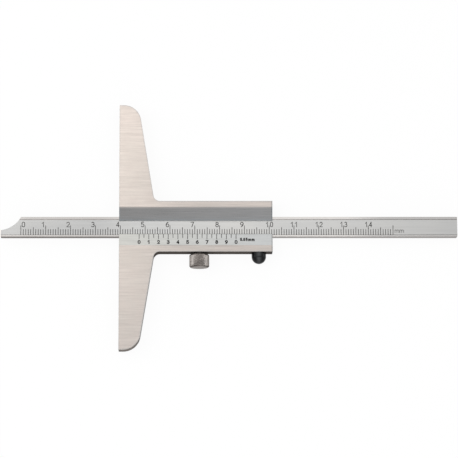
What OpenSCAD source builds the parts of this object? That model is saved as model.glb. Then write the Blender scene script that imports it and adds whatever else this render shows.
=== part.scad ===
// Vernier depth gauge. Bridge and slider are one milled body. A graduated depth rod slides
// through it, a leaf spring loads the rod, and a knurled screw clamps it.
// The gauge lies on its back: X runs along the rod, Y along the bridge and Z towards the
// reader. X = 0 is the measuring face, Y = 0 the rod's centre line and Z = 0 the back.

/* [Bridge] */
// Length of the measuring face
bridge_l = 100; // [80:1:150]
// Width of an arm at its outer end, before the corner is rounded
arm_end_w = 7.7; // [7.5:0.1:9]
// Width of an arm where it meets the slider
arm_root_w = 14.2; // [12:0.1:20]
// Radius of the outer corner of each arm
arm_corner_r = 7; // [2:0.1:7.2]
// Radius between each arm and the slider
fillet_r = 2.6; // [1:0.1:4]

/* [Slider] */
// Length of the slider, from the measuring face
slider_l = 61.8; // [60:0.1:80]
// Width of the slider
slider_w = 20.7; // [20:0.1:26]
// Thickness of bridge and slider
body_t = 6.5; // [6.2:0.1:8]
// Thickness of the wall behind the rod
web_t = 1.4; // [1.3:0.05:1.5]
// Thickness of the two lips over the rod, at the window's edge
lip_t = 0.15; // [0.1:0.01:0.3]
// Distance from the rod's centre line to the window's upper edge
window_up = 2.4; // [2:0.1:3]
// Distance from the rod's centre line to the window's lower edge
window_down = 3; // [2.5:0.1:3.3]
// Width of the ground bevel above the window
bevel_w = 5.6; // [4:0.1:6.5]
// Width of the slanted vernier strip below the window
vernier_w = 4.75; // [4:0.05:5.5]

/* [Depth rod] */
// Width of the rod
rod_w = 8; // [7.6:0.1:9]
// Thickness of the rod
rod_t = 4; // [3.6:0.1:4.1]
// Distance from the rod's tip to its zero mark, and from the measuring face to the vernier's
zero_x = 8.1; // [7:0.1:9]
// Height of the flat measuring tip
tip_h = 2.6; // [2:0.1:4]
// Radius of the hollow curve behind the tip
tip_r = 10.6; // [9:0.1:20]
// Length of the graduated scale
scale_l = 150; // [140:10:250]
// Plain length of the rod behind the last mark
tail_l = 26; // [24:0.5:40]
// Chamfer on the rod's rear corners
rod_chamfer = 0.1; // [0.1:0.1:1]
// Width of the raised guide rail along the upper edge of the scale
upper_rail_w = 0.95; // [0.6:0.05:1.2]
// Width of the raised guide rail along the lower edge of the scale
lower_rail_w = 0.5; // [0.3:0.05:0.8]
// Depth of the matt scale field between the rails
field_depth = 0.1; // [0.05:0.01:0.2]
// Width of the relief groove along each rail
relief_w = 0.25; // [0.15:0.05:0.35]
// Depth of the relief grooves below the scale field
relief_depth = 0.12; // [0.08:0.01:0.2]
// Depth that the gauge shows as it is drawn
reading = 47.6; // [5:0.1:100]
// Largest depth that the gauge measures
reading_max = 110; // [105:1:210]

/* [Graduation] */
// Width of every engraved mark
mark_w = 0.22; // [0.1:0.01:0.25]
// Depth of every engraved mark
mark_depth = 0.05; // [0.03:0.01:0.08]
// Length of a millimetre mark
mm_mark = 2.5; // [2:0.1:3]
// Length of a five millimetre mark
half_mark = 3.25; // [2.5:0.05:3.5]
// Length of a centimetre mark
cm_mark = 4; // [3:0.1:4.5]
// Number of divisions on the vernier
vernier_divisions = 20; // [10:10:20]
// Length that the vernier's divisions take up
vernier_span = 39; // [19:20:39]
// Length of a numbered vernier mark
vernier_long = 2.3; // [1.8:0.1:3]
// Length of a vernier mark between two numbers
vernier_short = 1.7; // [1:0.1:2]

/* [Leaf spring] */
// Length of the spring
spring_l = 36; // [24:1:40]
// Distance by which the spring stays inside both faces of the rod
spring_side = 0.1; // [0.1:0.05:0.3]
// Thickness of the spring
spring_t = 0.3; // [0.2:0.05:0.4]
// Depth of the pocket for the spring, below the rod's edge
pocket_depth = 0.95; // [0.8:0.05:1.2]
// Play at each end of the pocket
pocket_play = 0.2; // [0.1:0.05:0.5]

/* [Clamp screw] */
// Place of the screw along the slider
clamp_x = 32.3; // [28:0.1:34]
// Diameter of the knurled head
clamp_head_d = 8; // [7:0.1:9]
// Length of the knurled head
clamp_head_l = 5.5; // [4:0.1:8]
// Chamfer at both ends of the head
clamp_chamfer = 0.6; // [0.3:0.1:1]
// Free neck between the slider and the head
clamp_neck = 0.75; // [0.3:0.05:1.5]
// Diameter of the threaded shank
clamp_thread_d = 2.5; // [2:0.1:2.6]
// Height of the head above the surface that the gauge lies on
clamp_lift = 0.05; // [0.02:0.01:0.2]

/* [Thumb knob] */
// Distance from the slider's rear end to the middle of the knob
knob_inset = 5.5; // [4:0.1:7]
// Diameter of the knob
knob_d = 5.8; // [5:0.1:6]
// Length of the knob's straight part, below its round end
knob_straight = 1.7; // [1:0.1:4]
// Diameter of the pin that holds the knob
knob_pin_d = 2; // [1.5:0.1:2.4]
// Depth of the pin in the slider
knob_pin_in = 4; // [2:0.1:4.5]
// Depth of the pin in the knob
knob_pin_out = 2.6; // [1.5:0.1:2.6]

/* [Rod stop] */
// Length of the stop plate on the rod's back
stop_l = 8; // [6:0.5:9]
// Width of the stop plate
stop_w = 6; // [5:0.1:7]
// Thickness of the stop plate
stop_t = 1; // [0.7:0.05:1]
// Distance between the two stop screws
stop_pitch = 4; // [3.5:0.1:5]
// Diameter of the screws' thread
stop_thread_d = 1.6; // [1.2:0.1:1.8]
// Diameter of the screws' countersunk heads
stop_head_d = 2.8; // [2.4:0.1:3]
// Height of the heads' cone
stop_cone_h = 0.6; // [0.4:0.05:0.7]
// Depth that the screws reach into the rod
stop_screw_in = 2; // [1.5:0.1:2.4]
// Width of the screws' slots
stop_slot_w = 0.35; // [0.2:0.05:0.5]
// Depth of the screws' slots
stop_slot_depth = 0.3; // [0.2:0.05:0.4]

/* [Fits] */
// Play between the rod and the slot on every side
slide_gap = 0.05; // [0.02:0.01:0.1]
// Radial play of a screw in its thread
thread_gap = 0.05; // [0.02:0.01:0.1]
// Play of a fixed pin or screw in its seat
seat_gap = 0.02; // [0.01:0.01:0.05]

/* [Hidden] */
$fn = 64;
through = 1;
mark_over = 0.5;
corner_over = 0.5;
tangent_over = 0.002;

rod_x = -reading;
rod_l = zero_x + scale_l + tail_l;
rod_z = web_t + slide_gap;
rod_top = rod_z + rod_t;
rod_edge = rod_w / 2;
field_z = rod_top - field_depth;
relief_z = field_z - relief_depth;
field_low = lower_rail_w - rod_edge;
field_high = rod_edge - upper_rail_w;
slot_edge = rod_edge + slide_gap;
slot_top = rod_top + slide_gap;
lip_z = slot_top + lip_t;
bevel_y = window_up + bevel_w;
vernier_y = -window_down - vernier_w;
vernier_step = vernier_span / vernier_divisions;
vernier_tilt = atan((body_t - lip_z) / vernier_w);

slider_edge = slider_w / 2;
arm_slope = (arm_root_w - arm_end_w) / (bridge_l / 2 - slider_edge);
arm_down = [arm_slope, -1] / norm([arm_slope, -1]);

rod_mid_z = rod_z + rod_t / 2;
pocket_y = -slot_edge - pocket_depth;
pocket_l = spring_l + 2 * pocket_play;
spring_rise = slide_gap + pocket_depth - 2 * slide_gap - spring_t;
spring_w = rod_t - 2 * spring_side;
spring_r = (pow(spring_l / 2, 2) + pow(spring_rise, 2)) / (2 * spring_rise);
spring_y = -rod_edge - slide_gap;

knob_x = slider_l - knob_inset;

clamp_r = clamp_thread_d / 2;
clamp_head_r = clamp_head_d / 2;
clamp_z = clamp_head_r + clamp_lift;
clamp_tip_y = spring_y - spring_t - slide_gap;

stop_x = slider_l + slide_gap + reading_max - reading;
stop_z = rod_z - stop_t;
stop_mid_x = stop_x + stop_l / 2;
stop_head_z = stop_z + seat_gap;

// The area between a sharp corner and the arc that rounds it. p is the corner, u and v are
// unit vectors from it along its two edges, and r is the arc's radius. The area runs past
// both edges by corner_over, and the arc crosses them by tangent_over, so that nothing
// meets the outline edge to edge.
module corner_area(p, u, v, r) {
    half_angle = acos(u * v) / 2;
    reach = r / tan(half_angle);
    centre = p + (u + v) / norm(u + v) * r / sin(half_angle);
    difference() {
        polygon([p - (u + v) * corner_over, p + u * reach - v * corner_over,
            p + u * reach, centre, p + v * reach, p + v * reach - u * corner_over]);
        translate(centre) circle(r + tangent_over);
    }
}

// One arm's half of the T, above the rod's centre line
module half_outline() {
    difference() {
        union() {
            polygon([[0, 0], [slider_l, 0], [slider_l, slider_edge],
                [arm_root_w, slider_edge], [arm_end_w, bridge_l / 2], [0, bridge_l / 2]]);
            corner_area([arm_root_w, slider_edge], [1, 0], -arm_down, fillet_r);
        }
        corner_area([arm_end_w, bridge_l / 2], [-1, 0], arm_down, arm_corner_r);
    }
}

// A profile drawn in Y and Z, carried along X from x0 to x1
module along_x(x0, x1, points) {
    translate([x0, 0, 0]) rotate([90, 0, 90]) linear_extrude(x1 - x0) polygon(points);
}

// Turns a piece drawn along +Z so that it points out of the slider's lower edge, at x and z
module out_of_edge(x, z, y = -slider_edge) {
    translate([x, y, z]) rotate([90, 0, 0]) children();
}

module slot_and_window() {
    along_x(-through, slider_l + through, [
        [-slot_edge, web_t], [slot_edge, web_t], [slot_edge, slot_top], [window_up, slot_top],
        [window_up, lip_z], [bevel_y, body_t], [bevel_y, body_t + through],
        [vernier_y, body_t + through], [vernier_y, body_t], [-window_down, lip_z],
        [-window_down, slot_top], [-slot_edge, slot_top]]);
}

module spring_pocket() {
    translate([clamp_x - pocket_l / 2, pocket_y, rod_mid_z - spring_w / 2 - slide_gap])
        cube([pocket_l, pocket_depth + slot_edge, spring_w + 2 * slide_gap]);
}

module vernier_marks() {
    for (i = [0 : vernier_divisions]) {
        mark_l = i % 2 == 0 ? vernier_long : vernier_short;
        translate([zero_x + i * vernier_step, -window_down, lip_z])
            rotate([-vernier_tilt, 0, 0])
            translate([-mark_w / 2, -mark_l, -mark_depth])
            cube([mark_w, mark_l + mark_over, through]);
    }
}

module slide_body() {
    color("silver") difference() {
        linear_extrude(body_t) union() {
            half_outline();
            mirror([0, 1]) half_outline();
        }
        slot_and_window();
        spring_pocket();
        vernier_marks();
        out_of_edge(clamp_x, clamp_z, pocket_y + slide_gap)
            cylinder(r = clamp_r + thread_gap, h = slider_edge + pocket_y + through);
        out_of_edge(knob_x, rod_mid_z, knob_pin_in + seat_gap - slider_edge)
            cylinder(d = knob_pin_d + 2 * seat_gap, h = knob_pin_in + through);
    }
}

// The hollow curve: a circle through the tip's top and through the rod's upper edge at zero_x
module tip_curve() {
    chord = [zero_x, rod_w - tip_h];
    rise = sqrt(pow(tip_r, 2) - pow(norm(chord) / 2, 2));
    middle = [0, tip_h - rod_edge] + chord / 2;
    translate(middle + rise * [-chord[1], chord[0]] / norm(chord)) circle(tip_r);
}

module rod_outline() {
    difference() {
        polygon([[0, -rod_edge], [rod_l - rod_chamfer, -rod_edge],
            [rod_l, rod_chamfer - rod_edge], [rod_l, rod_edge - rod_chamfer],
            [rod_l - rod_chamfer, rod_edge], [0, rod_edge]]);
        tip_curve();
    }
}

// The matt field between the rails, with a relief groove along each rail
module scale_field() {
    along_x(rod_x - through, rod_x + rod_l + through, [
        [field_low, relief_z], [field_low + relief_w, relief_z],
        [field_low + relief_w, field_z], [field_high - relief_w, field_z],
        [field_high - relief_w, relief_z], [field_high, relief_z],
        [field_high, rod_top + through], [field_low, rod_top + through]]);
}

module scale_marks() {
    for (i = [0 : scale_l]) {
        mark_l = i % 10 == 0 ? cm_mark : i % 5 == 0 ? half_mark : mm_mark;
        translate([zero_x + i - mark_w / 2, field_low + relief_w / 2, field_z - mark_depth])
            cube([mark_w, mark_l - relief_w / 2, field_depth + through]);
    }
}

module depth_rod() {
    color("gainsboro") difference() {
        translate([rod_x, 0, rod_z]) linear_extrude(rod_t) rod_outline();
        scale_field();
        translate([rod_x, 0, 0]) scale_marks();
        at_stop_screws() translate([0, 0, rod_z - through])
            cylinder(d = stop_thread_d + 2 * seat_gap, h = stop_screw_in + seat_gap + through);
    }
}

// A flat strip bowed towards the rod: the part of a wide ring that lies over its own length
module leaf_spring() {
    color("slategray") intersection() {
        translate([clamp_x, spring_y - spring_r, rod_mid_z - spring_w / 2]) difference() {
            cylinder(r = spring_r, h = spring_w, $fn = 360);
            translate([0, 0, -through])
                cylinder(r = spring_r - spring_t, h = spring_w + 2 * through, $fn = 360);
        }
        translate([clamp_x - spring_l / 2, pocket_y, rod_z])
            cube([spring_l, pocket_depth + slot_edge, rod_t]);
    }
}

module clamp_screw() {
    end_y = clamp_neck + clamp_head_l;
    tip_y = -slider_edge - clamp_tip_y;
    tip_chamfer = clamp_r / 4;
    color("dimgray") out_of_edge(clamp_x, clamp_z) rotate_extrude() polygon([
        [0, tip_y], [clamp_r - tip_chamfer, tip_y], [clamp_r, tip_y + tip_chamfer],
        [clamp_r, clamp_neck], [clamp_head_r - clamp_chamfer, clamp_neck],
        [clamp_head_r, clamp_neck + clamp_chamfer], [clamp_head_r, end_y - clamp_chamfer],
        [clamp_head_r - clamp_chamfer, end_y], [0, end_y]]);
}

module thumb_knob() {
    color("black") out_of_edge(knob_x, rod_mid_z) difference() {
        rotate_extrude() union() {
            square([knob_d / 2, knob_straight]);
            translate([0, knob_straight]) intersection() {
                circle(d = knob_d);
                square(knob_d / 2);
            }
        }
        translate([0, 0, -through])
            cylinder(d = knob_pin_d + 2 * seat_gap, h = knob_pin_out + seat_gap + through);
    }
}

module knob_pin() {
    color("gray") out_of_edge(knob_x, rod_mid_z) translate([0, 0, -knob_pin_in])
        cylinder(d = knob_pin_d, h = knob_pin_in + knob_pin_out);
}

module at_stop_screws() {
    for (side = [-1, 1]) translate([stop_mid_x + side * stop_pitch / 2, 0, 0]) children();
}

// The room that one countersunk screw takes, from its head at z = 0, with play all round
module screw_form(play) {
    head_r = stop_head_d / 2 + play;
    shank_r = stop_thread_d / 2 + play;
    rotate_extrude() polygon([[0, 0], [head_r, 0], [shank_r, stop_cone_h],
        [shank_r, stop_t + stop_screw_in - seat_gap], [0, stop_t + stop_screw_in - seat_gap]]);
}

module stop_plate() {
    color("gray") difference() {
        translate([stop_x, -stop_w / 2, stop_z]) cube([stop_l, stop_w, stop_t]);
        at_stop_screws() translate([0, 0, stop_head_z]) screw_form(seat_gap);
        at_stop_screws() translate([0, 0, stop_z - through])
            cylinder(r = stop_head_d / 2 + seat_gap, h = through + seat_gap);
    }
}

module stop_screws() {
    color("dimgray") at_stop_screws() translate([0, 0, stop_head_z]) difference() {
        screw_form(0);
        translate([-stop_head_d, -stop_slot_w / 2, -through])
            cube([2 * stop_head_d, stop_slot_w, stop_slot_depth + through]);
    }
}

slide_body();
depth_rod();
leaf_spring();
clamp_screw();
thumb_knob();
knob_pin();
stop_plate();
stop_screws();
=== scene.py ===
# Vernier depth gauge on a pale studio floor. Metres, X along the rod, Y along the bridge.
import math

import bpy
import numpy as np
from mathutils import Matrix, Vector


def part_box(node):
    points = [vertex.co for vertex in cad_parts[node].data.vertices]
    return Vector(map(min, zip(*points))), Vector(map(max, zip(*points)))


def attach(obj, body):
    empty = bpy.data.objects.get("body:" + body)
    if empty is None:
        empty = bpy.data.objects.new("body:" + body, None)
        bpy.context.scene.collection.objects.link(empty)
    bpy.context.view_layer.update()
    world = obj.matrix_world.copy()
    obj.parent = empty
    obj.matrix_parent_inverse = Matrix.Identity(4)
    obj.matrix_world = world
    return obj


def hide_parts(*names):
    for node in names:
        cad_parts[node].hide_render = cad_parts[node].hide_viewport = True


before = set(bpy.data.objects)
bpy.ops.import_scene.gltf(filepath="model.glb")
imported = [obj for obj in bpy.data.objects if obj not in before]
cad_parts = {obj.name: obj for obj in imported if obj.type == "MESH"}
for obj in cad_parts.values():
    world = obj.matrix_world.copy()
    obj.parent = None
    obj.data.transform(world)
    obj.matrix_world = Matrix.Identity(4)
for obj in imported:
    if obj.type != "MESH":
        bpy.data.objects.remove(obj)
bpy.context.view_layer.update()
scene = bpy.context.scene
scene.view_settings.view_transform = "Standard"
mm = 0.001
print("gauge: frame loaded,", len(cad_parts), "CAD nodes")

# The camera, at the angle of the photograph

cameraLook = {
    "target": (0.04431, -0.00070, 0.004),
    "distance": 0.9,
    "azimuth": -5.871,
    "elevation": 79.514,
    "roll": 5.761,
    "lens": 175.22,
    "sensor": 36,
    "nearest": 0.05,        # what is closer isn't drawn
}


def placeCamera(look):
    azimuth, elevation, roll = (math.radians(look[k]) for k in ("azimuth", "elevation", "roll"))
    back = Vector((math.cos(elevation) * math.sin(azimuth),
                   -math.cos(elevation) * math.cos(azimuth), math.sin(elevation)))
    right = (-back).cross(Vector((0, 0, 1))).normalized()
    up = right.cross(-back)
    side = right * math.cos(roll) + up * math.sin(roll)
    top = up * math.cos(roll) - right * math.sin(roll)
    data = bpy.data.cameras.new("photoCamera")
    data.lens = look["lens"]
    data.sensor_width = look["sensor"]
    data.clip_start = look["nearest"]
    camera = bpy.data.objects.new("photoCamera", data)
    scene.collection.objects.link(camera)
    turn = Matrix((side, top, back)).transposed().to_4x4()
    place = Matrix.Translation(Vector(look["target"]) + back * look["distance"])
    camera.matrix_world = place @ turn
    scene.camera = camera


# Short forms for shader nodes

noiseSpan = (0.3, 0.7)      # most of what a noise node gives lies between these


def link(tree, source, target):    # source is an output socket or a plain value
    if isinstance(source, bpy.types.NodeSocket):
        tree.links.new(source, target)
    else:
        target.default_value = source


def addNode(tree, kind, **values):
    node = tree.nodes.new(kind)
    for name, value in values.items():
        setattr(node, name, value)
    return node


def calc(tree, operation, *values):
    node = addNode(tree, "ShaderNodeMath", operation=operation)
    for value, socket in zip(values, node.inputs):
        link(tree, value, socket)
    return node.outputs[0]


def times(tree, result, *others):
    for value in others:
        result = calc(tree, "MULTIPLY", result, value)
    return result


def plus(tree, result, *others):
    for value in others:
        result = calc(tree, "ADD", result, value)
    return result


def awayFrom(tree, value, place):    # the distance between the two
    return calc(tree, "ABSOLUTE", calc(tree, "SUBTRACT", value, place))


def remap(tree, value, low, high, toLow=0.0, toHigh=1.0, smooth=False):
    node = addNode(tree, "ShaderNodeMapRange",
                   interpolation_type="SMOOTHSTEP" if smooth else "LINEAR")
    for number, entry in enumerate((value, low, high, toLow, toHigh)):
        link(tree, entry, node.inputs[number])
    return node.outputs[0]


def spread(tree, noise, low, high):    # the noise drawn out from low to high
    return remap(tree, noise, *noiseSpan, low, high)


def darkened(tree, where, share):    # 1, and less by the share where it applies
    return remap(tree, where, 0.0, 1.0, 1.0, 1 - share)


def blendColour(tree, factor, first, second, mode="MIX"):
    node = addNode(tree, "ShaderNodeMix", data_type="RGBA", blend_type=mode)
    link(tree, factor, node.inputs[0])
    link(tree, first, node.inputs[6])
    link(tree, second, node.inputs[7])
    return node.outputs[2]


def shadeColour(tree, colour, shade):    # the colour multiplied by one number
    grey = addNode(tree, "ShaderNodeCombineXYZ")
    for socket in grey.inputs:
        link(tree, shade, socket)
    return blendColour(tree, 1.0, colour, grey.outputs[0], "MULTIPLY")


def newFinish(name):
    paint = bpy.data.materials.new(name)
    paint.use_nodes = True
    return paint, paint.node_tree, paint.node_tree.nodes["Principled BSDF"]


def seenRays(tree):    # 1 for rays from the camera, from gloss and through glass
    path = addNode(tree, "ShaderNodeLightPath")
    glossOrGlass = calc(tree, "MAXIMUM", path.outputs["Is Glossy Ray"],
                        path.outputs["Is Transmission Ray"])
    return calc(tree, "MAXIMUM", path.outputs["Is Camera Ray"], glossOrGlass)


# Light and floor. A lamp has a place, a size and a power, and looks at the camera's target.

studio = {
    "skyLight": 0.80,       # strength on matt surfaces
    "skySeen": 1.0,         # what the camera and polished metal see
    "lamps": {
        # off to the left, out of the flats' mirror direction
        "key": ((-0.62, 0.16, 0.74), 0.7, 2.6),
        # low in front, for the highlights on knob and screw
        "glint": ((0.10, -0.66, 0.27), 0.26, 0.7),
        # low at both ends, for the screw's two flanks
        "left": ((-0.74, 0.14, 0.16), 0.22, 0.45),
        "right": ((0.81, 0.14, 0.14), 0.22, 0.6),
    },
    "floorSize": 3.0,
    "floorColour": (0.96, 0.96, 0.96, 1),
    "floorLift": 0.93,      # share of plain white that the camera sees over the shadow
}


def lightStudio(look):
    world = bpy.data.worlds.new("paleStudio")
    scene.world = world
    world.use_nodes = True
    tree = world.node_tree
    background = tree.nodes["Background"]
    background.inputs["Color"].default_value = (1, 1, 1, 1)
    link(tree, remap(tree, seenRays(tree), 0.0, 1.0, look["skyLight"], look["skySeen"]),
         background.inputs["Strength"])
    for name, (place, size, power) in look["lamps"].items():
        data = bpy.data.lights.new(name + "Lamp", "AREA")
        data.size = size
        data.energy = power
        lamp = bpy.data.objects.new(name + "Lamp", data)
        scene.collection.objects.link(lamp)
        lamp.location = place
        aim = Vector(cameraLook["target"]) - lamp.location
        lamp.rotation_euler = aim.to_track_quat("-Z", "Y").to_euler()


def layFloor(look):
    half = look["floorSize"] / 2
    mesh = bpy.data.meshes.new("paleFloor")
    corners = [(-half, -half, 0), (half, -half, 0), (half, half, 0), (-half, half, 0)]
    mesh.from_pydata(corners, [], [(0, 1, 2, 3)])
    floor = bpy.data.objects.new("paleFloor", mesh)
    scene.collection.objects.link(floor)
    paint, tree, shader = newFinish("paleFloor")
    shader.inputs["Base Color"].default_value = look["floorColour"]
    shader.inputs["Roughness"].default_value = 1.0
    shader.inputs["Specular IOR Level"].default_value = 0.0
    white = addNode(tree, "ShaderNodeEmission")
    both = addNode(tree, "ShaderNodeMixShader")
    link(tree, times(tree, seenRays(tree), look["floorLift"]), both.inputs[0])
    link(tree, shader.outputs[0], both.inputs[1])
    link(tree, white.outputs[0], both.inputs[2])
    link(tree, both.outputs[0], tree.nodes["Material Output"].inputs["Surface"])
    mesh.materials.append(paint)


placeCamera(cameraLook)
lightStudio(studio)
layFloor(studio)
print("gauge: camera, light and floor in place")

# Node groups that the finishes share

sharedLook = {
    "bandDetail": 3.0,
    "scratchShare": 0.12,       # size of a scratch, as a share of a band's
    "scratchDetail": 2.0,
    "cloudDetail": 2.0,
    "edgeSamples": 6,
    "edgeFade": (0.995, 0.85),  # dot product of the two normals, off an edge and on it
    "breakScale": 700.0,        # noise along the edges, and how it breaks them up
    "breakFade": (0.3, 0.6, 0.45, 1.0),
}


def newGroup(name, inputs, outputs):
    group = bpy.data.node_groups.new(name, "ShaderNodeTree")
    for label, kind, value in inputs:
        socket = group.interface.new_socket(label, in_out="INPUT", socket_type=kind)
        socket.default_value = value
    for label, kind in outputs:
        group.interface.new_socket(label, in_out="OUTPUT", socket_type=kind)
    return group, group.nodes.new("NodeGroupInput"), group.nodes.new("NodeGroupOutput")


def placeGroup(tree, group, **values):
    node = addNode(tree, "ShaderNodeGroup", node_tree=group)
    for label, value in values.items():
        link(tree, value, node.inputs[label])
    return node


def addNoise(tree, place, scale, detail=None):
    noise = addNode(tree, "ShaderNodeTexNoise")
    link(tree, place, noise.inputs["Vector"])
    link(tree, scale, noise.inputs["Scale"])
    if detail is not None:
        noise.inputs["Detail"].default_value = detail
    return noise.outputs["Fac"]


def ownPlace(tree):    # the place in the piece's own frame
    return addNode(tree, "ShaderNodeTexCoord").outputs["Object"]


# Brushing: noise stretched along X, or along Y where Turned is 1, in a coarse band that shows
# from a step away and in the fine scratches of the belt. Length and Width are in metres.
def makeBrushing(look):
    tree, given, result = newGroup(
        "beltBrushing",
        [("Length", "NodeSocketFloat", 0.03), ("Width", "NodeSocketFloat", 0.0006),
         ("Turned", "NodeSocketFloat", 0.0)],
        [("Streak", "NodeSocketFloat"), ("Scratch", "NodeSocketFloat")])
    place = ownPlace(tree)

    def stretched(share, detail):
        along, across = (calc(tree, "DIVIDE", 1.0, times(tree, given.outputs[label], share))
                         for label in ("Length", "Width"))
        alongX = remap(tree, given.outputs["Turned"], 0.0, 1.0, along, across)
        alongY = remap(tree, given.outputs["Turned"], 0.0, 1.0, across, along)
        scale = addNode(tree, "ShaderNodeCombineXYZ")
        for number, value in enumerate((alongX, alongY, across)):
            link(tree, value, scale.inputs[number])
        scaled = addNode(tree, "ShaderNodeVectorMath", operation="MULTIPLY")
        link(tree, place, scaled.inputs[0])
        link(tree, scale.outputs[0], scaled.inputs[1])
        return addNoise(tree, scaled.outputs[0], 1.0, detail)

    link(tree, stretched(1.0, look["bandDetail"]), result.inputs["Streak"])
    link(tree, stretched(look["scratchShare"], look["scratchDetail"]), result.inputs["Scratch"])
    return tree


# Cloud: slow noise of one size, for the way that a hand-finished face varies in tone
def makeCloud(look):
    tree, given, result = newGroup(
        "toneCloud", [("Size", "NodeSocketFloat", 0.02)], [("Cloud", "NodeSocketFloat")])
    scale = calc(tree, "DIVIDE", 1.0, given.outputs["Size"])
    noise = addNoise(tree, ownPlace(tree), scale, look["cloudDetail"])
    link(tree, spread(tree, noise, 0.0, 1.0), result.inputs["Cloud"])
    return tree


# Edges: the rounded normal against the flat one says how near an edge is, and small noise
# breaks the line up
def makeEdges(look):
    tree, given, result = newGroup(
        "brokenEdges", [("Radius", "NodeSocketFloat", 0.00015)],
        [("Edge", "NodeSocketFloat"), ("Normal", "NodeSocketVector")])
    rounded = addNode(tree, "ShaderNodeBevel", samples=look["edgeSamples"])
    link(tree, given.outputs["Radius"], rounded.inputs["Radius"])
    dot = addNode(tree, "ShaderNodeVectorMath", operation="DOT_PRODUCT")
    link(tree, rounded.outputs[0], dot.inputs[0])
    link(tree, addNode(tree, "ShaderNodeNewGeometry").outputs["Normal"], dot.inputs[1])
    near = remap(tree, dot.outputs["Value"], *look["edgeFade"])
    noise = addNoise(tree, ownPlace(tree), look["breakScale"])
    link(tree, times(tree, near, remap(tree, noise, *look["breakFade"])), result.inputs["Edge"])
    link(tree, rounded.outputs[0], result.inputs["Normal"])
    return tree


brushing = makeBrushing(sharedLook)
cloud = makeCloud(sharedLook)
edges = makeEdges(sharedLook)


def brushed(tree, size, turned=0.0):    # streaks and scratches, for a length and a width
    grain = placeGroup(tree, brushing, Length=size[0], Width=size[1], Turned=turned)
    return grain.outputs["Streak"], grain.outputs["Scratch"]


def clouded(tree, size):
    return placeGroup(tree, cloud, Size=size).outputs["Cloud"]


def brokenEdge(tree, radius):    # how near an edge is, and the normal rounded over it
    return placeGroup(tree, edges, Radius=radius).outputs


def objectParts(tree):    # x, y, z and the normal's x, y, z, all in the piece's own frame
    place = addNode(tree, "ShaderNodeTexCoord")
    spot = addNode(tree, "ShaderNodeSeparateXYZ")
    facing = addNode(tree, "ShaderNodeSeparateXYZ")
    link(tree, place.outputs["Object"], spot.inputs[0])
    link(tree, place.outputs["Normal"], facing.inputs[0])
    return (*spot.outputs, *facing.outputs)


def facesUp(tree, faceZ):    # 1 on what faces up, slanted faces too
    return calc(tree, "GREATER_THAN", faceZ, 0.9)


def facesAside(tree, face):    # 1 where the normal hardly points along this axis
    return calc(tree, "LESS_THAN", calc(tree, "ABSOLUTE", face), 0.5)


def reliefNormal(tree, height, base, depth, strength):
    bump = addNode(tree, "ShaderNodeBump")
    bump.inputs["Distance"].default_value = depth
    bump.inputs["Strength"].default_value = strength
    link(tree, height, bump.inputs["Height"])
    if base is not None:
        link(tree, base, bump.inputs["Normal"])
    return bump.outputs[0]


# Slide body: brushed flats, ground bevel above the window, matt strip below it. A fade is the
# stretch of X, Y or the normal over which one tone gives way to the next.

bodyFinish = {
    # painted light and shade: the flats run from a lit tone to a shaded one
    "flatPaintedLit": (0.775, 0.69, 0.63, 1),
    "flatPaintedShade": (0.53, 0.48, 0.45, 1),
    "bridgeFade": (-0.058, 0.029),
    "sliderFade": (0.0, 0.03),
    "upperShare": 0.25,     # how light the slider's upper flat stays
    "greenCast": (0.52, 0.52, 0.47, 1),
    "greenSize": 0.022,
    "pinkCast": (0.62, 0.53, 0.49, 1),
    "pinkSize": 0.0035,
    "castShare": 0.22,
    # painted shade: the bevel, the same steel as the flats, made dark grey for how its slant
    # meets the light
    "bevel": (0.235, 0.233, 0.233, 1),
    "bevelTail": (0.272, 0.272, 0.275, 1),
    "strip": (0.57, 0.565, 0.535, 1),
    "stripTail": (0.54, 0.55, 0.55, 1),
    "tailFade": (0.0, 0.06),
    # painted shade: the sides, the same steel as the flats, darker for how little light they
    # catch
    "side": (0.33, 0.315, 0.305, 1),
    "underside": (0.078, 0.067, 0.060, 1),    # painted shade: what faces down is dark and hardly a mirror, as if in shadow
    "undersideFade": (-0.19, -0.5),
    "undersideShine": 0.15,
    # the painted shade is lighter at the lower arm's end
    "armEnd": (0.19, 0.17, 0.155, 1),
    "armEndFade": (-0.040, -0.0495),
    "grazing": (0.45, 0.45, 0.45, 1),
    # painted shade: a dark line on every edge, lighter on the bevel's edges
    "edge": (0.16, 0.145, 0.135, 1),
    "bevelEdge": (0.36, 0.355, 0.355, 1),
    "edgeRadius": 0.00016,
    "edgeShare": 0.6,
    "rimCool": (0.24, 0.31, 0.36, 1),    # painted shade: the band along each edge is greyer and a little darker
    "rimShare": 0.32,
    "rimWidth": 0.0011,
    "tailLine": 0.30,       # painted shade: how much the rear end's edge is darkened
    "tailLineFade": (0.0006, 0.0003),
    "lipLine": 0.5,         # painted shade along the lip over the rod
    "lipDepth": 0.00012,
    "bevelTopBlend": 0.45,      # how far the bevel's top edge is blended towards the flat's tone
    "bevelTopBlendWidth": 0.0008,
    "crease": 0.15,         # painted shade where the strip meets the flat, half way along the slider
    "creaseHalf": 0.00045,
    "creaseFade": (0.012, 0.018),
    "creaseBreak": (0.0, 0.6, 0.4, 1.0),
    "grain": (0.011, 0.00042),
    "streakShare": 0.07,
    "sideStreak": 2.0,      # times that on the sides, whose belt was coarser
    "scratchShade": (0.96, 1.04),
    "flatRough": 0.36,
    "bevelRough": 0.30,
    "stripRough": 0.52,
    "roughChange": (-0.05, 0.05),
    "relief": (0.00002, 0.35),
}

windowEdges = {"bevelTop": 0.008, "lip": -0.003, "crease": -0.00785}    # places in Y
slant = 0.05    # bevel and strip tip up or down the bridge by more than this


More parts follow.
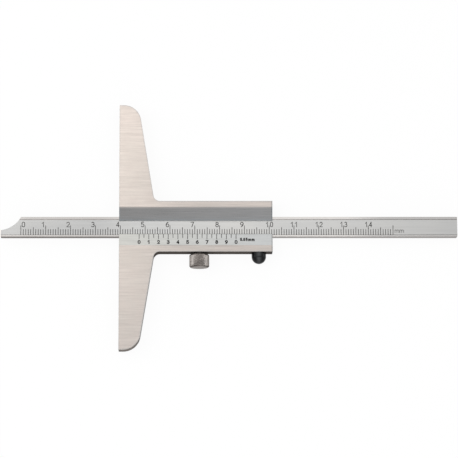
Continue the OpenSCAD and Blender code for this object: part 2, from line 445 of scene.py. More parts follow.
def makeBodyFinish(look):
    paint, tree, shader = newFinish("brushedBody")
    x, y, _, faceX, faceY, faceZ = objectParts(tree)
    # ground along X, and along Y on the measuring face and the arms' sides
    acrossRod = calc(tree, "GREATER_THAN", calc(tree, "ABSOLUTE", faceX), 0.5)
    streak, scratch = brushed(tree, look["grain"], acrossRod)
    tone, patch = (clouded(tree, look[name]) for name in ("greenSize", "pinkSize"))
    edge, edgeNormal = brokenEdge(tree, look["edgeRadius"])
    bevel = times(tree, facesUp(tree, faceZ), calc(tree, "LESS_THAN", faceY, -slant))
    strip = times(tree, facesUp(tree, faceZ), calc(tree, "GREATER_THAN", faceY, slant))
    side = facesAside(tree, faceZ)

    # painted light and shade: arms lighter than the slider and the upper arm lighter than the
    # lower, as a lamp up to the left lights them
    alongBridge = remap(tree, y, *look["bridgeFade"])
    upperShare = times(tree, calc(tree, "GREATER_THAN", y, 0.0), look["upperShare"])
    alongSlider = remap(tree, x, *look["sliderFade"], 1.0, upperShare, smooth=True)
    flat = blendColour(tree, times(tree, alongBridge, alongSlider), look["flatPaintedShade"],
                       look["flatPaintedLit"])
    for cast, where in (("greenCast", tone), ("pinkCast", patch)):
        flat = blendColour(tree, times(tree, where, look["castShare"]), flat, look[cast])

    # painted shade on the faces that look down, less metallic there
    underShade = times(tree, side, remap(tree, faceY, *look["undersideFade"]))
    underShadeColour = blendColour(tree, remap(tree, y, *look["armEndFade"]), look["underside"],
                              look["armEnd"])
    sideColour = blendColour(tree, underShade, look["side"], underShadeColour)
    tail = remap(tree, x, *look["tailFade"])
    stripColour = blendColour(tree, tail, look["strip"], look["stripTail"])
    # the bevel's painted shade, lighter towards the rear end, blends into the flat at its top
    # edge
    bevelColour = blendColour(tree, tail, look["bevel"], look["bevelTail"])
    bevelTop = windowEdges["bevelTop"]
    bevelTopBlend = remap(tree, y, bevelTop - look["bevelTopBlendWidth"], bevelTop, 0.0,
                      look["bevelTopBlend"])
    bevelColour = blendColour(tree, bevelTopBlend, bevelColour, flat)
    colour = flat
    for where, tint in ((side, sideColour), (strip, stripColour), (bevel, bevelColour)):
        colour = blendColour(tree, where, colour, tint)

    streakShare = remap(tree, side, 0.0, 1.0, look["streakShare"],
                        look["streakShare"] * look["sideStreak"])
    streaks = plus(tree, 1.0, times(tree, streakShare, spread(tree, streak, -1.0, 1.0)))
    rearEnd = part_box("slide_body")[1][0]
    tailLine = remap(tree, x, *(rearEnd - inset for inset in look["tailLineFade"]), 1.0,
                     1 - look["tailLine"])
    lip = times(tree, strip,
                calc(tree, "GREATER_THAN", y, windowEdges["lip"] - look["lipDepth"]))
    # painted shade in the crease, along the lip and along the rear end
    offCrease = awayFrom(tree, y, windowEdges["crease"])
    offHalfWay = awayFrom(tree, x, rearEnd / 2)
    crease = times(tree, remap(tree, offCrease, 0.0, look["creaseHalf"], 1.0, 0.0),
                   remap(tree, offHalfWay, *look["creaseFade"], 1.0, 0.0, smooth=True),
                   remap(tree, patch, *look["creaseBreak"]))
    shade = times(tree, streaks, spread(tree, scratch, *look["scratchShade"]), tailLine,
                  darkened(tree, lip, look["lipLine"]), darkened(tree, crease, look["crease"]))
    colour = shadeColour(tree, colour, shade)
    # painted shade: a broad cool rim everywhere but on the strip, and over it a dark line painted
    # on the edge itself
    offStrip = remap(tree, strip, 0.0, 1.0, look["rimShare"], 0.0)
    softRim = times(tree, brokenEdge(tree, look["rimWidth"])["Edge"], offStrip)
    colour = blendColour(tree, softRim, colour, look["rimCool"])
    edgeColour = blendColour(tree, bevel, look["edge"], look["bevelEdge"])
    link(tree, blendColour(tree, times(tree, edge, look["edgeShare"]), colour, edgeColour),
         shader.inputs["Base Color"])

    rough = plus(tree, look["flatRough"],
                 times(tree, strip, look["stripRough"] - look["flatRough"]),
                 times(tree, bevel, look["bevelRough"] - look["flatRough"]),
                 spread(tree, streak, *look["roughChange"]))
    link(tree, rough, shader.inputs["Roughness"])
    link(tree, remap(tree, underShade, 0.0, 1.0, 1.0, look["undersideShine"]),
         shader.inputs["Metallic"])
    shader.inputs["Specular IOR Level"].default_value = 0.0
    shader.inputs["Specular Tint"].default_value = look["grazing"]
    link(tree, reliefNormal(tree, scratch, edgeNormal, *look["relief"]),
         shader.inputs["Normal"])
    return paint


# Depth rod: matt chrome field between two bright rails, dark relief grooves and grey sides, with
# painted light and shade

rodFinish = {
    "field": (0.50, 0.502, 0.50, 1),
    "fieldWarm": (0.545, 0.54, 0.525, 1),
    "rail": (0.585, 0.56, 0.54, 1),
    "railTail": (0.645, 0.62, 0.60, 1),
    "railFade": (0.01, 0.07),
    "railEnd": (0.49, 0.475, 0.465, 1),
    "railEndFade": (0.092, 0.106),
    # painted shade in the relief grooves, deeper towards the tail
    "groove": (0.44, 0.415, 0.40, 1),
    "grooveTail": (0.27, 0.265, 0.26, 1),
    "grooveFade": (0.02, 0.11),
    # painted shade on the sides, and a painted reflection of the floor that lightens them towards
    # the tail
    "side": (0.295, 0.27, 0.255, 1),
    "sideTail": (0.50, 0.475, 0.46, 1),
    "sideFade": (0.01, 0.08),
    # painted light and shade: darker towards both ends than in the middle, a painted highlight at
    # the tip, lighter towards the top and along the lower rail
    "middleShade": (-0.012, 0.012, 0.925, 1.07),
    "tailShade": (0.085, 0.136, 0.0, -0.14),
    "tipShade": (-0.043, -0.036, 0.075, 0.0),
    "upperShade": (0.0, 0.003, 0.0, 0.03),
    "lowerShade": (-0.0033, -0.0036, 0.0, 0.15),
    "grazing": (0.45, 0.45, 0.45, 1),
    # painted highlight along the edges
    "edge": (0.80, 0.78, 0.76, 1),
    "edgeRadius": 0.00008,
    "edgeShare": 0.3,
    "fieldTop": 0.0054,     # what faces up below this is field, and below the next, groove
    "grooveTop": 0.00527,
    "grain": (0.02, 0.0005),
    "streakShade": (0.965, 1.035),
    "cloudSize": 0.03,
    "fieldRough": 0.50,
    "railRough": 0.30,
    "roughChange": (-0.04, 0.04),
    "relief": (0.00001, 0.25),
}


def makeRodFinish(look):
    paint, tree, shader = newFinish("chromedRod")
    x, y, z, _, _, faceZ = objectParts(tree)
    streak, scratch = brushed(tree, look["grain"])
    edge, edgeNormal = brokenEdge(tree, look["edgeRadius"])
    field, groove = (times(tree, facesUp(tree, faceZ), calc(tree, "LESS_THAN", z, look[name]))
                     for name in ("fieldTop", "grooveTop"))

    fieldColour = blendColour(tree, clouded(tree, look["cloudSize"]), look["field"],
                              look["fieldWarm"])
    railColour, sideColour, grooveColour = (
        blendColour(tree, remap(tree, x, *look[name + "Fade"]), look[name], look[name + "Tail"])
        for name in ("rail", "side", "groove"))
    colour = blendColour(tree, remap(tree, x, *look["railEndFade"]), railColour,
                         look["railEnd"])
    for where, tint in ((facesAside(tree, faceZ), sideColour), (field, fieldColour),
                        (groove, grooveColour)):
        colour = blendColour(tree, where, colour, tint)
    # painted light and shade along the rod and across it
    shade = plus(tree, remap(tree, x, *look["middleShade"], smooth=True),
                 remap(tree, x, *look["tailShade"]), remap(tree, x, *look["tipShade"]),
                 remap(tree, y, *look["upperShade"]), remap(tree, y, *look["lowerShade"]))
    shade = times(tree, shade, spread(tree, streak, *look["streakShade"]))
    colour = shadeColour(tree, colour, shade)
    link(tree, blendColour(tree, times(tree, edge, look["edgeShare"]), colour, look["edge"]),
         shader.inputs["Base Color"])

    rough = plus(tree, look["railRough"],
                 times(tree, field, look["fieldRough"] - look["railRough"]),
                 spread(tree, scratch, *look["roughChange"]))
    link(tree, rough, shader.inputs["Roughness"])
    shader.inputs["Metallic"].default_value = 1.0
    shader.inputs["Specular Tint"].default_value = look["grazing"]
    link(tree, reliefNormal(tree, scratch, edgeNormal, *look["relief"]),
         shader.inputs["Normal"])
    return paint


# Small steel parts: blued spring, pin, stop plate and its screws

smallSteels = {
    "leaf_spring": {"name": "bluedSpring", "deep": (0.05, 0.07, 0.13, 1),
                    "light": (0.16, 0.17, 0.22, 1), "rough": 0.34, "edgeShare": 0.5},
    "knob_pin": {"name": "drawnPin", "deep": (0.40, 0.39, 0.38, 1),
                 "light": (0.52, 0.51, 0.50, 1), "rough": 0.30, "edgeShare": 0.4},
    "stop_plate": {"name": "milledPlate", "deep": (0.38, 0.37, 0.36, 1),
                   "light": (0.50, 0.49, 0.48, 1), "rough": 0.38, "edgeShare": 0.6},
    "stop_screws": {"name": "turnedScrews", "deep": (0.20, 0.195, 0.19, 1),
                    "light": (0.33, 0.32, 0.31, 1), "rough": 0.33, "edgeShare": 0.7},
}

smallSteelLook = {
    "edge": (0.68, 0.67, 0.66, 1),
    "edgeRadius": 0.00008,
    "grain": (0.006, 0.0003),
    "cloudSize": 0.004,
    "roughChange": (-0.05, 0.07),
    "relief": (0.00001, 0.3),
}


def makeSmallSteel(look):
    paint, tree, shader = newFinish(look["name"])
    streak, scratch = brushed(tree, look["grain"])
    edge, edgeNormal = brokenEdge(tree, look["edgeRadius"])
    tone = times(tree, clouded(tree, look["cloudSize"]), streak)
    colour = blendColour(tree, tone, look["deep"], look["light"])
    link(tree, blendColour(tree, times(tree, edge, look["edgeShare"]), colour, look["edge"]),
         shader.inputs["Base Color"])
    link(tree, spread(tree, scratch, *(look["rough"] + change for change in look["roughChange"])),
         shader.inputs["Roughness"])
    shader.inputs["Metallic"].default_value = 1.0
    link(tree, reliefNormal(tree, scratch, edgeNormal, *look["relief"]),
         shader.inputs["Normal"])
    return paint


def dress(piece, paint):    # every slot of the piece gets the finish
    if not piece.data.materials:
        piece.data.materials.append(paint)
    for slot in piece.material_slots:
        slot.material = paint


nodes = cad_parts
dress(nodes["slide_body"], makeBodyFinish(bodyFinish))
dress(nodes["depth_rod"], makeRodFinish(rodFinish))
for nodeName, look in smallSteels.items():
    dress(nodes[nodeName], makeSmallSteel({**smallSteelLook, **look}))
print("gauge: CAD nodes finished")


# A new piece: its mesh and finish, and the body that it moves with
def newPiece(name, points, faces, paint, body, slotName, smooth):
    mesh = bpy.data.meshes.new(name)
    mesh.from_pydata(points.tolist(), [], faces)
    mesh.materials.append(paint)
    mesh.polygons.foreach_set("use_smooth", np.full(len(mesh.polygons), smooth))
    mesh.update()
    piece = bpy.data.objects.new(name, mesh)
    scene.collection.objects.link(piece)
    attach(piece, body)
    return piece


# Quads of a grid of rows and columns whose columns close on themselves
def ringQuads(rows, columns):
    row, column = np.meshgrid(np.arange(rows - 1), np.arange(columns), indexing="ij")
    following = (column + 1) % columns
    return np.stack((row * columns + column, row * columns + following,
                     (row + 1) * columns + following, (row + 1) * columns + column),
                    axis=-1).reshape(-1, 4)


# A turned surface about an axis along -Y. Each row is a ring: its distance along the axis and
# the radius at each angle. A point is the centre line plus radius times (cos, sin) of its
# angle in X and Z. The first and last rows close on a point on the axis.
def turnedSurface(centre, along, radius):
    rows, columns = radius.shape
    column = np.arange(columns)
    angle = column * 2 * np.pi / columns
    x0, y0, z0 = centre
    y = np.broadcast_to(y0 - along[:, None], radius.shape)
    rings = np.stack((x0 + radius * np.cos(angle), y, z0 + radius * np.sin(angle)), axis=-1)
    poles = np.array([(x0, y0 - along[0], z0), (x0, y0 - along[-1], z0)])
    points = np.vstack((rings.reshape(-1, 3), poles)) * mm
    firstPole, lastPole = rows * columns, rows * columns + 1
    lastRing = (rows - 1) * columns
    following = (column + 1) % columns
    startFan = np.column_stack((np.full(columns, firstPole), following, column))
    endFan = np.column_stack((np.full(columns, lastPole), lastRing + column,
                              lastRing + following))
    return points, ringQuads(rows, columns).tolist() + startFan.tolist() + endFan.tolist()


# Clamp screw: knurled head and threaded shank, turned in one piece. Lengths run from the
# slider's edge, away from it, in millimetres.

clampScrew = {
    "centre": (32.3, -10.35, 4.05),
    "headRadius": 3.998,
    "neck": 0.75,
    "headEnd": 6.25,
    "shoulder": 0.6,        # chamfer towards the slider
    "footRings": (0.5, 0.96),    # on the flat under the head, as shares of its radius
    "endChamfer": 0.45,
    "endRing": 0.05,        # how far a ring lies inside the end's edge
    "dome": 0.12,
    "domeRings": (0.9, 0.3, 6),    # outermost as a share of the end, innermost, and how many
    "teeth": 44,
    "knurlDepth": 0.16,
    "knurlAngle": 30,
    "knurlSlope": 1.8,      # over 1 leaves a flat crest on each diamond
    "knurlRows": 48,
    "columnsPerTooth": 8,
    "shankRadius": 1.25,
    "shankTop": 0.2,        # how far the shank reaches into the head
    "tip": -5.95,
    "tipRadius": 0.75,      # as a share of the shank's
    "threadPitch": 0.45,
    "threadDepth": 0.2,
    "threadEnd": -0.1,      # plain from here up to the head, and darkened there with painted shade
    "threadRows": 132,
    "threadColumns": 48,
    "shoulderShade": 1.0,   # painted shade: how dark the two chamfers are, from 0 to 1
    "endShade": 0.93,
    "endCover": 0.95,       # share of the end's chamfer that it covers
    "shoulderShadeCover": 0.9,        # share of the shoulder that the painted shade covers
    "shoulderShadeReach": 0.5,        # and how much more on the flanks
    "light": (0.43, 0.39, 0.365, 1),
    "paintedHighlight": (0.66, 0.615, 0.58, 1),    # painted highlight on both flanks
    "flankRise": (0.25, 0.72),    # from the middle outwards, as shares of the head's radius
    "flankFall": (0.76, 0.92),
    "knurlFacing": 0.55,    # what faces along the screw by less than this is knurl
    # painted shade in the knurl's grooves
    "valley": (0.05, 0.042, 0.038, 1),
    "valleyPower": 1.4,
    "valleyShade": (0.75, 1.0),
    "farEndDimming": 0.62,        # share of its brightness that the far end of the knurl keeps
    "mottle": 0.22,
    "mottleSize": 0.0007,
    "grazing": (0.5, 0.5, 0.5, 1),
    "grain": (0.001, 0.0003),
    "scratchShade": (0.93, 1.07),
    "cloudSize": 0.003,
    "rough": (0.30, 0.5),   # on a crest and in a groove
    "relief": (0.00001, 0.3),
}


def triangleWave(phase):    # 0 at whole numbers, 1 half way between them
    return 1 - np.abs(2 * (phase % 1) - 1)


# The turned profile of the head: the flat under it, the shoulder, the straight part, the
# end's chamfer, and a dome that falls with the square of the distance from the axis
def headProfile(look):
    start, stop = look["neck"], look["headEnd"] - look["dome"]
    footRadius = look["headRadius"] - look["shoulder"]
    endRadius = look["headRadius"] - look["endChamfer"]
    knurlRows = np.linspace(start + look["shoulder"] / 2, stop - look["endChamfer"] / 2,
                            look["knurlRows"])
    along = np.concatenate(([start, start, start], knurlRows, [stop, stop]))
    outline = np.interp(along, [start, start + look["shoulder"], stop - look["endChamfer"], stop],
                        [footRadius, look["headRadius"], look["headRadius"], endRadius])
    outline[:2] = footRadius * np.array(look["footRings"])
    outline[-1] = endRadius - look["endRing"]
    outermost, innermost, count = look["domeRings"]
    domeRadius = np.linspace(endRadius * outermost, innermost, count)
    domeHeight = stop + look["dome"] * (1 - (domeRadius / endRadius) ** 2)
    return np.concatenate((along, domeHeight)), np.concatenate((outline, domeRadius))


# Knurl: two families of V grooves wind round the head to the left and to the right. The
# height at a point is the lower of two triangle waves, and the radius is the turned
# profile's or the knurl's, whichever is smaller, so the grooves run out on the chamfers.
def knurledHead(look):
    along, outline = headProfile(look)
    columns = look["teeth"] * look["columnsPerTooth"]
    turns = np.arange(columns) / columns * look["teeth"]
    pitch = 2 * np.pi * look["headRadius"] / look["teeth"]
    lean = along[:, None] * math.tan(math.radians(look["knurlAngle"])) / pitch
    height = np.minimum(triangleWave(turns + lean), triangleWave(turns - lean))
    cut = 1 - np.clip(height * look["knurlSlope"], 0, 1)
    crest = look["headRadius"] - look["knurlDepth"] * cut
    radius = np.minimum(outline[:, None], crest)

    depth = np.where(crest <= outline[:, None], cut, 0.0)
    start, stop = look["neck"], look["headEnd"] - look["dome"]
    # painted shade on the shoulder, reaching further on the flanks, and on the end's chamfer
    flankward = np.abs(np.cos(turns / look["teeth"] * 2 * np.pi))
    reach = look["shoulder"] * (look["shoulderShadeCover"] + look["shoulderShadeReach"] * flankward)
    onShoulder = along[:, None] < start + reach
    onEnd = (along > stop - look["endChamfer"] * look["endCover"]) & (along <= stop)
    depth = np.where(onShoulder, np.maximum(depth, look["shoulderShade"]), depth)
    depth[onEnd] = np.maximum(depth[onEnd], look["endShade"])
    points, faces = turnedSurface(look["centre"], along, radius)
    return points, faces, np.concatenate((depth.ravel(), [0, 0]))


# Thread: the radius falls with a triangle wave whose phase is the distance along the screw
# over the pitch, less the angle in turns, which winds it right-handed. The tip is a cone.
def threadedShank(look):
    along = np.linspace(look["tip"], look["neck"] + look["shankTop"], look["threadRows"])
    turn = np.arange(look["threadColumns"]) / look["threadColumns"]
    cut = 1 - triangleWave(along[:, None] / look["threadPitch"] - turn)
    plain = along > look["threadEnd"]
    cut[plain] = 0
    tip = look["shankRadius"] * look["tipRadius"] + (along - look["tip"])
    radius = np.minimum(look["shankRadius"] - look["threadDepth"] * cut, tip[:, None])
    points, faces = turnedSurface(look["centre"], along, radius)
    # painted shade on the plain neck, in the gap under the slider
    cut[plain] = look["shoulderShade"]
    return points, faces, np.concatenate((cut.ravel(), [0, 0]))


def makeScrewFinish(look):
    paint, tree, shader = newFinish("knurledSteel")
    x, y, _, _, faceY, _ = objectParts(tree)
    # the attribute holds how deep the knurl cuts and the painted shade of chamfers and neck
    depth = addNode(tree, "ShaderNodeAttribute", attribute_name="cutDepthAndShade").outputs["Fac"]
    _, scratch = brushed(tree, look["grain"])
    tone = remap(tree, clouded(tree, look["cloudSize"]), 0.0, 1.0, *look["valleyShade"])
    dark = times(tree, calc(tree, "POWER", depth, look["valleyPower"]), tone)
    # painted highlight on both flanks of the knurl; elsewhere the knurl darkens towards its far
    # end
    onKnurl = calc(tree, "LESS_THAN", calc(tree, "ABSOLUTE", faceY), look["knurlFacing"])
    aside = awayFrom(tree, x, look["centre"][0] * mm)
    radius = look["headRadius"] * mm
    rise, fall = ([share * radius for share in look[name]] for name in ("flankRise", "flankFall"))
    paintedHighlight = times(tree, remap(tree, aside, *rise, smooth=True),
                   remap(tree, aside, *fall, 1.0, 0.0, smooth=True), onKnurl)
    colour = blendColour(tree, paintedHighlight, look["light"], look["paintedHighlight"])
    colour = blendColour(tree, dark, colour, look["valley"])
    near, far = (look["centre"][1] - along for along in (look["neck"], look["headEnd"]))
    farEndDimming = remap(tree, y, near * mm, far * mm, 1.0, look["farEndDimming"])
    offKnurl = calc(tree, "SUBTRACT", 1.0, onKnurl)
    farEndDimming = calc(tree, "MAXIMUM", farEndDimming, calc(tree, "MAXIMUM", paintedHighlight, offKnurl))
    mottle = remap(tree, clouded(tree, look["mottleSize"]), 0.0, 1.0, 1 - look["mottle"],
                   1 + look["mottle"])
    shade = times(tree, farEndDimming, mottle, spread(tree, scratch, *look["scratchShade"]))
    link(tree, shadeColour(tree, colour, shade), shader.inputs["Base Color"])
    link(tree, remap(tree, depth, 0.0, 1.0, *look["rough"]), shader.inputs["Roughness"])
    shader.inputs["Metallic"].default_value = 1.0
    shader.inputs["Specular Tint"].default_value = look["grazing"]
    link(tree, reliefNormal(tree, scratch, None, *look["relief"]), shader.inputs["Normal"])
    return paint


def makeClampScrew(look):
    headPoints, headFaces, headDepth = knurledHead(look)
    shankPoints, shankFaces, shankDepth = threadedShank(look)
    shift = len(headPoints)
    faces = headFaces + [[corner + shift for corner in face] for face in shankFaces]
    piece = newPiece("knurledClampScrew", np.vstack((headPoints, shankPoints)), faces,
                     makeScrewFinish(look), "clamp_screw", "knurled_steel", False)
    depth = piece.data.attributes.new("cutDepthAndShade", "FLOAT", "POINT")
    depth.data.foreach_set("value", np.concatenate((headDepth, shankDepth)))
    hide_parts("clamp_screw")


makeClampScrew(clampScrew)
print("gauge: clamp screw turned and knurled")

# Thumb knob: moulded plastic dome with a softened rim and the bore for its pin. Lengths run
# from the slider's edge, away from it, in millimetres.

thumbKnob = {
    "centre": (56.3, -10.35, 3.45),
    "radius": 2.9,
    "straight": 1.7,
    "rim": 0.18,
    "rimRings": 7,
    "domeTop": 88,          # the last ring's angle, just short of the pole
    "domeRings": 30,
    "bore": 1.02,
    "boreDepth": 2.62,
    "boreChamfer": 0.06,
    "columns": 96,
    "colour": (0.004, 0.0045, 0.005, 1),
    "paintedHighlight": (0.075, 0.078, 0.080, 1),    # painted highlight along the knob's top
    "paintedHighlightHalf": 1.5,
    "paintedHighlightBreak": (0.6, 1.0),
    "highlightDip": 2.0,            # where the painted highlight dips, as a distance from the foot
    "highlightDipHalf": 0.5,
    "highlightDipShare": 0.3,       # how much of the painted highlight is left there
    "cloudSize": 0.0016,
    "grainScale": 9000.0,
    "grainDetail": 2.0,
    "rough": (0.24, 0.34),
    "specular": 0.12,
    "relief": (0.00001, 0.25),
}


# The knob's outline in rings from the bore's floor, out along the bore, round the rim, up the
# straight part and over a quarter circle to the top of the dome
def domedKnob(look):
    quarter = np.radians(np.linspace(0, look["domeTop"], look["domeRings"]))
    rim = np.radians(np.linspace(-90, 0, look["rimRings"]))
    bore, chamfer = look["bore"], look["boreChamfer"]
    along = np.concatenate((
        [look["boreDepth"], look["boreDepth"], chamfer, 0.0],
        look["rim"] * (1 + np.sin(rim)),
        look["straight"] + look["radius"] * np.sin(quarter)))
    outline = np.concatenate((
        [bore / 2, bore, bore, bore + chamfer],
        look["radius"] - look["rim"] * (1 - np.cos(rim)),
        look["radius"] * np.cos(quarter)))
    radius = np.repeat(outline[:, None], look["columns"], axis=1)
    return turnedSurface(look["centre"], along, radius)


def makeKnobFinish(look):
    paint, tree, shader = newFinish("mouldedPlastic")
    x, y, _, _, _, faceZ = objectParts(tree)
    tone = clouded(tree, look["cloudSize"])
    grain = addNoise(tree, ownPlace(tree), look["grainScale"], look["grainDetail"])
    offMiddle = awayFrom(tree, x, look["centre"][0] * mm)
    offHighlightDip = awayFrom(tree, y, (look["centre"][1] - look["highlightDip"]) * mm)
    # painted highlight along the top of the knob, dipping at a ring
    paintedHighlight = times(tree, calc(tree, "MAXIMUM", faceZ, 0.0),
                   remap(tree, offMiddle, 0.0, look["paintedHighlightHalf"] * mm, 1.0, 0.0, smooth=True),
                   remap(tree, offHighlightDip, 0.0, look["highlightDipHalf"] * mm, look["highlightDipShare"], 1.0,
                         smooth=True),
                   remap(tree, tone, 0.0, 1.0, *look["paintedHighlightBreak"]))
    link(tree, blendColour(tree, paintedHighlight, look["colour"], look["paintedHighlight"]),
         shader.inputs["Base Color"])
    link(tree, remap(tree, tone, 0.0, 1.0, *look["rough"]), shader.inputs["Roughness"])
    shader.inputs["Specular IOR Level"].default_value = look["specular"]
    link(tree, reliefNormal(tree, grain, None, *look["relief"]), shader.inputs["Normal"])
    return paint


def makeThumbKnob(look):
    points, faces = domedKnob(look)
    piece = newPiece("domedThumbKnob", points, faces, makeKnobFinish(look), "slide_body",
                     "black_plastic", True)
    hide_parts("thumb_knob")


makeThumbKnob(thumbKnob)
print("gauge: thumb knob moulded")

# Ink in the engraved marks, in millimetres. It fills each groove, a hair wider than the cut,
# and stands a hair over its edges.

scaleMarks = {
    "zero": -39.5,          # the rod's zero mark, with the gauge set as it is drawn
    "count": 151,
    "foot": -3.375,
    "tops": (0.5, -0.25, -1.0),    # centimetre, half and millimetre marks
    "inkLow": 5.302,        # just over the grooves' floor
    "inkHigh": 5.353,       # and just over the scale field
    "width": 0.25,
}

vernierMarks = {
    "zero": 8.1,
    "step": 1.95,
    "count": 21,
    "edge": (-3.0, 5.65),   # the window's lower edge, in Y and Z
    "tilt": 10.15,
    "lengths": (2.3, 1.7),
    "clear": 0.002,         # off the groove's far end and its floor
    "below": 0.01,          # where a mark starts, under the window's edge
    "depth": 0.05,
    "proud": 0.003,
    "width": 0.25,
}

inkLook = {
    "rod": {"name": "scaleInk", "fresh": (0.018, 0.016, 0.015, 1),
            "worn": (0.05, 0.046, 0.043, 1)},
    "vernier": {"name": "vernierInk", "fresh": (0.05, 0.048, 0.046, 1),
                "worn": (0.12, 0.118, 0.115, 1)},
    "bold": {"name": "numberInk", "fresh": (0.014, 0.014, 0.014, 1),
             "worn": (0.04, 0.039, 0.038, 1)},
}

inkSurface = {"cloudSize": 0.0012, "rough": (0.5, 0.75), "specular": 0.3}


def makeInk(look):
    paint, tree, shader = newFinish(look["name"])
    tone = clouded(tree, look["cloudSize"])
    link(tree, blendColour(tree, tone, look["fresh"], look["worn"]), shader.inputs["Base Color"])
    link(tree, remap(tree, tone, 0.0, 1.0, *look["rough"]), shader.inputs["Roughness"])
    shader.inputs["Specular IOR Level"].default_value = look["specular"]
    return paint


# The plane that marks and numbers lie in: u runs along X, v up the face and h out of it
def onFace(origin, tilt, u, v, h):
    angle = math.radians(tilt)
    y = origin[0] + v * math.cos(angle) + h * math.sin(angle)
    z = origin[1] - v * math.sin(angle) + h * math.cos(angle)
    return np.stack((u, y, z), axis=-1) * mm


# Bars: every mark is a block between its two ends, its width centred on the mark, and as high
# as the ink stands. Eight corners a block, all worked out in one array.
def inkBars(centres, feet, tops, width, low, high, origin, tilt):
    sign = np.array([(-1, 0, 0), (1, 0, 0), (1, 1, 0), (-1, 1, 0),
                     (-1, 0, 1), (1, 0, 1), (1, 1, 1), (-1, 1, 1)])
    u = centres[:, None] + sign[:, 0] * width / 2
    v = feet[:, None] + sign[:, 1] * (tops - feet)[:, None]
    h = np.broadcast_to(low + sign[:, 2] * (high - low), u.shape)
    points = onFace(origin, tilt, u, v, h).reshape(-1, 3)
    block = np.array([(0, 3, 2, 1), (4, 5, 6, 7), (0, 1, 5, 4), (1, 2, 6, 5), (2, 3, 7, 6),
                      (3, 0, 4, 7)])
    faces = (block[None] + 8 * np.arange(len(centres))[:, None, None]).reshape(-1, 4)
    return points, faces.tolist()


# The rod's marks stand on one line, and their tops follow from the number of millimetres
def rodBars(look):
    number = np.arange(look["count"])
    kind = np.where(number % 10 == 0, 0, np.where(number % 5 == 0, 1, 2))
    return inkBars(look["zero"] + number, np.full(len(number), look["foot"]),
                   np.array(look["tops"])[kind], look["width"], look["inkLow"],
                   look["inkHigh"], (0, 0), 0)


# The vernier's marks hang from the window's edge on the slanted strip, long and short in turn
def vernierBars(look):
    number = np.arange(look["count"])
    lengths = np.array(look["lengths"])[number % 2]
    return inkBars(look["zero"] + number * look["step"], -lengths + look["clear"],
                   np.full(len(number), -look["below"]), look["width"],
                   look["clear"] - look["depth"], look["proud"], look["edge"], look["tilt"])


inks = {name: makeInk({**inkSurface, **look}) for name, look in inkLook.items()}
newPiece("rodMarks", *rodBars(scaleMarks), inks["rod"], "depth_rod", "mark_ink", False)
newPiece("vernierMarks", *vernierBars(vernierMarks), inks["vernier"], "slide_body", "mark_ink",
         False)
print("gauge: marks inked")

# Numbers, drawn as strokes of one width


def arc(cx, cy, rx, ry, start, stop, count=13):
    turn = np.radians(np.linspace(start, stop, count))
    return np.column_stack((cx + rx * np.cos(turn), cy + ry * np.sin(turn)))


def loop(cx, cy, rx, ry, count=22):
    return arc(cx, cy, rx, ry, 0, 360 - 360 / count, count)


def join(*paths):
    return np.vstack([np.atleast_2d(path) for path in paths])


# Each sign is strokes in a box from 0 to 1: the path of the stroke's middle, and whether it
# closes on itself
signs = {
    "0": [(join(arc(.5, .68, .5, .32, 0, 180), arc(.5, .32, .5, .32, 180, 360)), True)],
    "1": [(join((.10, .74), (.62, 1), (.62, 0)), False)],
    "2": [(join(arc(.5, .70, .5, .30, 165, -35), (0, 0), (1, 0)), False)],
    "3": [(arc(.46, .76, .44, .24, 150, -80), False),
          (arc(.46, .27, .54, .27, 82, -150), False)],
    "4": [(join((.74, 0), (.74, 1)), False), (join((.74, 1), (0, .27), (1, .27)), False)],
    "5": [(join((.90, 1), (.14, 1), (.07, .54), arc(.47, .32, .53, .32, 125, -150)), False)],
    "6": [(loop(.5, .31, .5, .31), True), (arc(.92, .33, .92, .67, 178, 100, 9), False)],
    "7": [(join((0, 1), (1, 1), (.34, 0)), False)],
    "8": [(loop(.5, .76, .43, .24), True), (loop(.5, .27, .5, .27), True)],
    "9": [(loop(.5, .69, .5, .31), True), (arc(.08, .67, .92, .67, -2, -80, 9), False)],
    "m": [(join((0, 0), (0, 1)), False),
          (join(arc(.25, .68, .25, .32, 175, 0, 9), (.5, 0)), False),
          (join(arc(.75, .68, .25, .32, 175, 0, 9), (1, 0)), False)],
    ".": [(join((.5, 0), (.5, .02)), False)],
}

# Depth of every number in its face and height over it, and the most that a corner is drawn
# out, as a share of the stroke
signSolid = {"low": -0.02, "high": 0.005, "sharpest": 0.55}


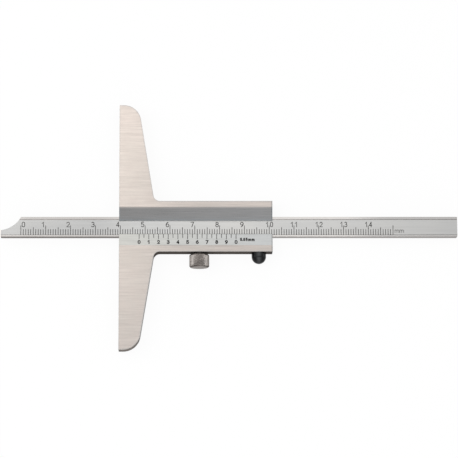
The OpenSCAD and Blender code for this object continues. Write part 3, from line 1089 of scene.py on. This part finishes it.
# A stroke's ribbon: at each point the two neighbouring segments' normals are averaged and
# lengthened to keep the width round the corner, and open ends run on by half the width. Four
# corners a point, two on the face and two under it, carried along the path.
def strokeRibbon(path, closed, width):
    ahead = np.roll(path, -1, axis=0) - path
    behind = path - np.roll(path, 1, axis=0)
    if not closed:
        ahead[-1] = behind[-1]
        behind[0] = ahead[0]
    ahead /= np.linalg.norm(ahead, axis=1, keepdims=True)
    behind /= np.linalg.norm(behind, axis=1, keepdims=True)
    if not closed:
        path = path.copy()
        path[0] -= ahead[0] * width / 2
        path[-1] += behind[-1] * width / 2
    middle = ahead + behind
    middle /= np.linalg.norm(middle, axis=1, keepdims=True)
    across = np.column_stack((-middle[:, 1], middle[:, 0]))
    slant = np.maximum(np.abs(np.sum(middle * ahead, axis=1)), signSolid["sharpest"])
    spreadOut = across * (width / 2 / slant)[:, None]
    left, right = path + spreadOut, path - spreadOut
    count = len(path)
    flat = np.stack((left, left, right, right), axis=1)
    low, high = signSolid["low"], signSolid["high"]
    height = np.broadcast_to(np.array([high, low, low, high])[None, :, None], (count, 4, 1))
    points = np.concatenate((flat, height), axis=2).reshape(-1, 3)
    steps = np.arange(count if closed else count - 1)
    here, there = steps * 4, (steps + 1) % count * 4
    corner = np.arange(4)
    following = (corner + 1) % 4
    faces = np.stack((here[:, None] + corner, here[:, None] + following,
                      there[:, None] + following, there[:, None] + corner), axis=-1)
    faces = faces.reshape(-1, 4)
    if not closed:
        caps = np.array([(0, 3, 2, 1), np.array([0, 1, 2, 3]) + (count - 1) * 4])
        faces = np.vstack((faces, caps))
    return points, faces


# Signs in a row: entries are (sign, left, bottom, width, height) in the face's plane
def signPiece(name, entries, stroke, origin, tilt, paint, body):
    allPoints, allFaces, count = [], [], 0
    for sign, left, bottom, width, height in entries:
        for path, closed in signs[sign]:
            shaped = path * (width - stroke, height - stroke) + (left + stroke / 2,
                                                                bottom + stroke / 2)
            points, faces = strokeRibbon(shaped, closed, stroke)
            allPoints.append(points)
            allFaces.append(faces + count)
            count += len(points)
    flat = np.vstack(allPoints)
    points = onFace(origin, tilt, flat[:, 0], flat[:, 1], flat[:, 2])
    return newPiece(name, points, np.vstack(allFaces).tolist(), paint, body, "mark_ink", False)


rodNumbers = {
    "last": 14,             # centimetres
    "height": 2.2,
    "width": 1.35,
    "bottom": -0.2,
    "stroke": 0.28,
    "gap": 0.35,            # between a number and its mark
    "pairWidth": 1.2,       # from 10 on, a digit on each side of the mark
    "pairGap": 0.14,        # the left one closer
    "face": 5.35,
    "unitHeight": 1.3,
    "unitWidth": 1.75,
    "unitBottom": -2.54,
    "unitStroke": 0.19,
    "unitStarts": (0.7, 2.65),    # right of the last mark
}

vernierNumbers = {
    "height": 1.66,
    "width": 1.18,
    "top": 2.65,            # below the window's edge
    "stroke": 0.41,
    "noteStart": 1.6,       # right of the last mark
    "noteTop": 1.65,
    "noteHeight": 1.45,
    "noteStroke": 0.37,
    # sign, place along the note, width and height
    "note": (("0", 0.0, 0.82, 1.45), (".", 0.92, 0.28, 1.45), ("0", 1.3, 0.82, 1.45),
             ("5", 2.25, 0.82, 1.45), ("m", 3.25, 1.25, 1.05), ("m", 4.65, 1.25, 1.05)),
}


def rodEntries(look):
    entries = []
    for centimetre in range(look["last"] + 1):
        mark = scaleMarks["zero"] + 10 * centimetre
        width = look["width"] if centimetre < 10 else look["pairWidth"]
        right = mark + look["gap"]
        if centimetre == 0:
            places = [right]
        elif centimetre < 10:
            places = [mark - look["gap"] - width]
        else:
            places = [mark - look["pairGap"] - width, right]
        entries += [(sign, place, look["bottom"], width, look["height"])
                    for sign, place in zip(str(centimetre), places)]
    return entries


def unitEntries(look):
    lastMark = scaleMarks["zero"] + scaleMarks["count"] - 1
    return [("m", lastMark + start, look["unitBottom"], look["unitWidth"], look["unitHeight"])
            for start in look["unitStarts"]]


def vernierEntries(look):    # 0 to 9 and 0 again, each under every second mark
    marks = vernierMarks["zero"] + vernierMarks["step"] * np.arange(0, vernierMarks["count"], 2)
    return [(str(number % 10), mark - look["width"] / 2, -look["top"] - look["height"],
             look["width"], look["height"]) for number, mark in enumerate(marks)]


def noteEntries(look):
    lastMark = vernierMarks["zero"] + (vernierMarks["count"] - 1) * vernierMarks["step"]
    start, bottom = lastMark + look["noteStart"], -look["noteTop"] - look["noteHeight"]
    return [(sign, start + shift, bottom, width, height)
            for sign, shift, width, height in look["note"]]


rodFace = (0, rodNumbers["face"])
signPiece("rodNumbers", rodEntries(rodNumbers), rodNumbers["stroke"], rodFace, 0, inks["rod"],
          "depth_rod")
signPiece("rodUnit", unitEntries(rodNumbers), rodNumbers["unitStroke"], rodFace, 0, inks["rod"],
          "depth_rod")
signPiece("vernierNumbers", vernierEntries(vernierNumbers), vernierNumbers["stroke"],
          vernierMarks["edge"], vernierMarks["tilt"], inks["bold"], "slide_body")
signPiece("vernierNote", noteEntries(vernierNumbers), vernierNumbers["noteStroke"],
          vernierMarks["edge"], vernierMarks["tilt"], inks["bold"], "slide_body")
print("gauge: numbers drawn")
